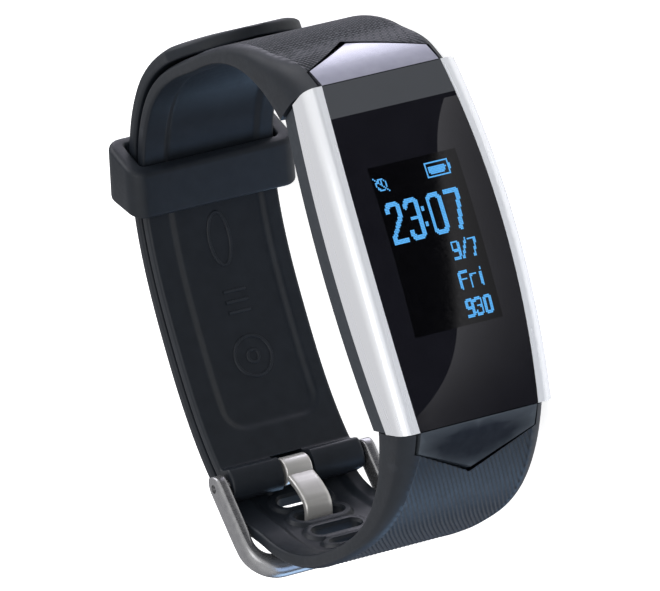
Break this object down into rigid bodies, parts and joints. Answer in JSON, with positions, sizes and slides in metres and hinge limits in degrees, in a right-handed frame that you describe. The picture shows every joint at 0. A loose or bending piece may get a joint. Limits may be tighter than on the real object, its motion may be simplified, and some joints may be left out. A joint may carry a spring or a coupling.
{
  "type": "fitness tracker band",
  "caption": "Wrist-worn activity tracker: a bowed glass display module with metal side rails between two moulded straps, buckled into a closed loop with a keeper.",
  "frame": {"origin": "centre of the bounding box in plan, on the surface that the closed band lies on, on its right side", "axes": "+X towards the display's 12 o'clock end, -Y out of the glass, +Y towards the back of the wrist loop, +Z along the wrist towards the display's left side"},
  "size_m": [0.0602, 0.0536, 0.0214],
  "materials": {
    "lens_glass": "gloss",
    "gasket_foam": "matt",
    "rail_silver": "satin",
    "case_plastic": "satin",
    "cover_plastic": "satin",
    "seal_rubber": "matt",
    "screw_steel": "satin",
    "trim_gloss": "gloss",
    "trim_satin": "satin",
    "display_glass": "gloss",
    "flex_amber": "satin",
    "sensor_film": "satin",
    "board_green": "satin",
    "chip_black": "matt",
    "antenna_ceramic": "satin",
    "battery_pouch": "satin",
    "motor_steel": "satin",
    "rotor_brass": "satin",
    "led_lens": "gloss",
    "window_smoked": "gloss",
    "contact_gold": "gloss",
    "pin_steel": "satin",
    "strap_rubber": "satin",
    "buckle_steel": "brushed"
  },
  "bodies": {
    "case": {"cover_lens": "lens_glass", "lens_gasket": "gasket_foam", "left_side_rail": "rail_silver", "right_side_rail": "rail_silver", "mid_frame": "case_plastic", "back_cover": "cover_plastic", "case_seal": "seal_rubber", "case_screws": "screw_steel", "upper_end_trim": "trim_gloss", "lower_end_trim": "trim_satin", "display_panel": "display_glass", "display_flex": "flex_amber", "touch_sensor_film": "sensor_film", "main_board": "board_green", "processor_chip": "chip_black", "flash_chip": "chip_black", "accelerometer_chip": "chip_black", "antenna_strip": "antenna_ceramic", "battery": "battery_pouch", "battery_pad": "gasket_foam", "vibration_motor_case": "motor_steel", "vibration_motor_shaft": "motor_steel", "sensor_board": "board_green", "green_leds": "led_lens", "photodiode": "chip_black", "sensor_window": "window_smoked", "charging_contacts": "contact_gold", "upper_link_pin": "pin_steel", "lower_link_pin": "pin_steel", "upper_strap": "strap_rubber", "lower_strap": "strap_rubber", "buckle_pin": "pin_steel"},
    "keeper": {"keeper_loop": "strap_rubber"},
    "frame": {"buckle_frame": "buckle_steel"},
    "tongue": {"buckle_tongue": "buckle_steel"},
    "rotor": {"vibration_motor_rotor": "rotor_brass"}
  },
  "joints": [
    {"name": "keeper_slide", "type": "hinge", "parent": "case", "child": "keeper", "pos_m": [0.00803, 0.00144, 0.0107], "axis": [0, 0, 1], "range_deg": [-6, 6]},
    {"name": "buckle_frame_hinge", "type": "hinge", "parent": "case", "child": "frame", "pos_m": [-0.01777, 0.02044, 0.0107], "axis": [0, 0, 1], "range_deg": [0, 1]},
    {"name": "buckle_tongue_hinge", "type": "hinge", "parent": "case", "child": "tongue", "pos_m": [-0.01777, 0.02044, 0.0107], "axis": [0, 0, 1], "range_deg": [-2.5, 0]},
    {"name": "vibration_rotor_spin", "type": "hinge", "parent": "case", "child": "rotor", "pos_m": [-0.01201, -0.02088, 0.0107], "axis": [0, 1, 0], "continuous": true}
  ]
}
